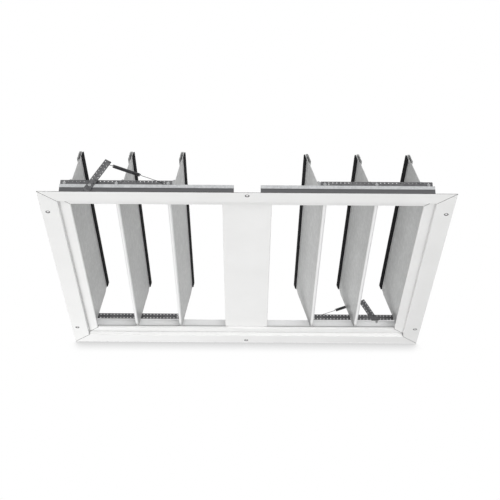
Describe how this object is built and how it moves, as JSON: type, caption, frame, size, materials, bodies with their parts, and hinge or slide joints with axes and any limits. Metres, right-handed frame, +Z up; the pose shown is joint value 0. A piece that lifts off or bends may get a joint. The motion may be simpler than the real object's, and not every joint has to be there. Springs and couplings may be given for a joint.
{
  "type": "ceiling shutter",
  "caption": "Ceiling shutter with a mitred white frame and linked aluminium blades, sealed with felt, that open upwards beside a panel that covers the joist.",
  "frame": {"origin": "middle of the frame on the room side of the flange", "axes": "+Z up into the roof space, +X across the blades, +Y along the blades"},
  "size_m": [0.864, 0.698, 0.1405],
  "materials": {
    "white_paint": "satin",
    "blade_aluminium": "satin",
    "felt": "matte",
    "rail_steel": "satin",
    "dark_steel": "satin",
    "bright_steel": "satin",
    "spring_steel": "satin",
    "nylon": "matte"
  },
  "bodies": {
    "root": {"frame_front": "white_paint", "frame_rear": "white_paint", "frame_left": "white_paint", "frame_right": "white_paint", "corner_gussets": "rail_steel", "centre_panel": "white_paint", "rail_front_left": "rail_steel", "rail_rear_left": "rail_steel", "rail_front_right": "rail_steel", "rail_rear_right": "rail_steel", "pivot_bushes": "nylon", "spring_arm_left": "dark_steel", "spring_arm_right": "dark_steel", "arm_rivets": "bright_steel"},
    "blade_left_1": {"blade_left_1": "blade_aluminium", "seal_left_1": "felt", "rod_left_1": "bright_steel", "clips_left_1": "bright_steel", "clip_rivets_left_1": "blade_aluminium", "link_pins_left_1": "bright_steel"},
    "blade_left_2": {"blade_left_2": "blade_aluminium", "seal_left_2": "felt", "rod_left_2": "bright_steel", "clips_left_2": "bright_steel", "clip_rivets_left_2": "blade_aluminium", "link_pins_left_2": "bright_steel"},
    "blade_left_3": {"blade_left_3": "blade_aluminium", "seal_left_3": "felt", "rod_left_3": "bright_steel", "clips_left_3": "bright_steel", "clip_rivets_left_3": "blade_aluminium", "link_pins_left_3": "bright_steel"},
    "tie_bars_left": {"tie_bar_left_front": "dark_steel", "tie_bar_left_rear": "dark_steel"},
    "spring_left": {"spring_left": "spring_steel"},
    "spring_link_left": {"spring_link_left": "spring_steel"},
    "blade_right_1": {"blade_right_1": "blade_aluminium", "seal_right_1": "felt", "rod_right_1": "bright_steel", "clips_right_1": "bright_steel", "clip_rivets_right_1": "blade_aluminium", "link_pins_right_1": "bright_steel"},
    "blade_right_2": {"blade_right_2": "blade_aluminium", "seal_right_2": "felt", "rod_right_2": "bright_steel", "clips_right_2": "bright_steel", "clip_rivets_right_2": "blade_aluminium", "link_pins_right_2": "bright_steel"},
    "blade_right_3": {"blade_right_3": "blade_aluminium", "seal_right_3": "felt", "rod_right_3": "bright_steel", "clips_right_3": "bright_steel", "clip_rivets_right_3": "blade_aluminium", "link_pins_right_3": "bright_steel"},
    "tie_bars_right": {"tie_bar_right_front": "dark_steel", "tie_bar_right_rear": "dark_steel"},
    "spring_right": {"spring_right": "spring_steel"},
    "spring_link_right": {"spring_link_right": "spring_steel"}
  },
  "joints": [
    {"name": "blade_left_1_turn", "type": "hinge", "parent": "root", "child": "blade_left_1", "pos_m": [-0.382, 0, 0.021], "axis": [0, 1, 0], "range_deg": [0, 72.73]},
    {"name": "blade_left_2_turn", "type": "hinge", "parent": "root", "child": "blade_left_2", "pos_m": [-0.273, 0, 0.021], "axis": [0, 1, 0], "range_deg": [0, 72.73]},
    {"name": "blade_left_3_turn", "type": "hinge", "parent": "root", "child": "blade_left_3", "pos_m": [-0.164, 0, 0.021], "axis": [0, 1, 0], "range_deg": [0, 72.73], "stiffness_Nm_per_rad": 0.1, "springref_deg": -114.59},
    {"name": "tie_bars_left_turn", "type": "hinge", "parent": "blade_left_3", "child": "tie_bars_left", "pos_m": [-0.166, 0, 0.05005], "axis": [0, 1, 0], "range_deg": [-72.83, 0.1]},
    {"name": "spring_left_swing", "type": "hinge", "parent": "root", "child": "spring_left", "pos_m": [-0.29225, 0, 0.0957], "axis": [0, 1, 0], "range_deg": [-0.1, 2.61]},
    {"name": "spring_left_stretch", "type": "slide", "parent": "spring_left", "child": "spring_link_left", "axis": [0.9325, 0, -0.3612], "range_m": [-0.0005, 0.03451], "deforming": ["spring_left"]},
    {"name": "blade_right_1_turn", "type": "hinge", "parent": "root", "child": "blade_right_1", "pos_m": [0.382, 0, 0.021], "axis": [0, -1, 0], "range_deg": [0, 66.73]},
    {"name": "blade_right_2_turn", "type": "hinge", "parent": "root", "child": "blade_right_2", "pos_m": [0.273, 0, 0.021], "axis": [0, -1, 0], "range_deg": [0, 66.73]},
    {"name": "blade_right_3_turn", "type": "hinge", "parent": "root", "child": "blade_right_3", "pos_m": [0.164, 0, 0.021], "axis": [0, -1, 0], "range_deg": [0, 66.73], "stiffness_Nm_per_rad": 0.1, "springref_deg": -114.59},
    {"name": "tie_bars_right_turn", "type": "hinge", "parent": "blade_right_3", "child": "tie_bars_right", "pos_m": [0.16296, 0, 0.0501], "axis": [0, -1, 0], "range_deg": [-66.83, 0.1]},
    {"name": "spring_right_swing", "type": "hinge", "parent": "root", "child": "spring_right", "pos_m": [0.29225, 0, 0.0957], "axis": [0, -1, 0], "range_deg": [-0.1, 3.12]},
    {"name": "spring_right_stretch", "type": "slide", "parent": "spring_right", "child": "spring_link_right", "axis": [-0.9357, 0, -0.3529], "range_m": [-0.0005, 0.03168], "deforming": ["spring_right"]}
  ],
  "couplings": [
    {"joint": "blade_left_1_turn", "follows": "blade_left_3_turn", "ratio": 1},
    {"joint": "blade_left_2_turn", "follows": "blade_left_3_turn", "ratio": 1},
    {"joint": "tie_bars_left_turn", "follows": "blade_left_3_turn", "ratio": -1},
    {"joint": "spring_left_swing", "follows": "blade_left_3_turn", "ratio": 0.03309},
    {"joint": "spring_left_stretch", "follows": "blade_left_3_turn", "m_per_rad": 0.026793},
    {"joint": "blade_right_1_turn", "follows": "blade_right_3_turn", "ratio": 1},
    {"joint": "blade_right_2_turn", "follows": "blade_right_3_turn", "ratio": 1},
    {"joint": "tie_bars_right_turn", "follows": "blade_right_3_turn", "ratio": -1},
    {"joint": "spring_right_swing", "follows": "blade_right_3_turn", "ratio": 0.043691},
    {"joint": "spring_right_stretch", "follows": "blade_right_3_turn", "m_per_rad": 0.026773}
  ]
}
